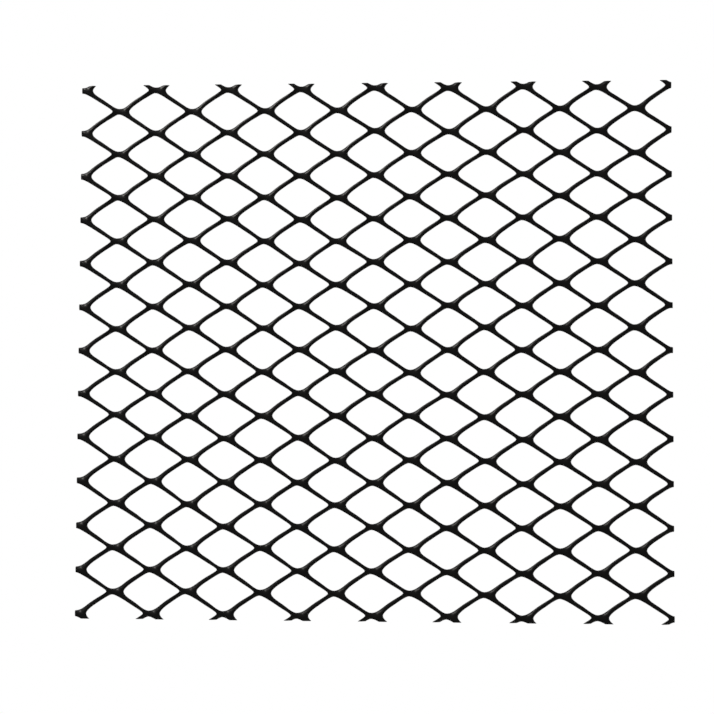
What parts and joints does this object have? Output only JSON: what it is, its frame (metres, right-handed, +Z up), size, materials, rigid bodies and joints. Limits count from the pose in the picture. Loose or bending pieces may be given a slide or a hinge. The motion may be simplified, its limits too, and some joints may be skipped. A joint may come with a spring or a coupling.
{
  "type": "plastic mesh fence panel",
  "caption": "Flat panel of extruded plastic diamond mesh for light fencing, its strands welded where they cross and slit straight at all four sides.",
  "frame": {"origin": "back of the middle weld in the bottom row, where the mesh is tied to what holds it", "axes": "+X along the fence, +Z up, front of the mesh towards -Y"},
  "size_m": [0.344, 0.0026, 0.312],
  "materials": {
    "black_plastic": "black polyethylene with a soft sheen, as extruded"
  },
  "bodies": {
    "root": {"mesh_panel": "black_plastic"}
  },
  "joints": []
}
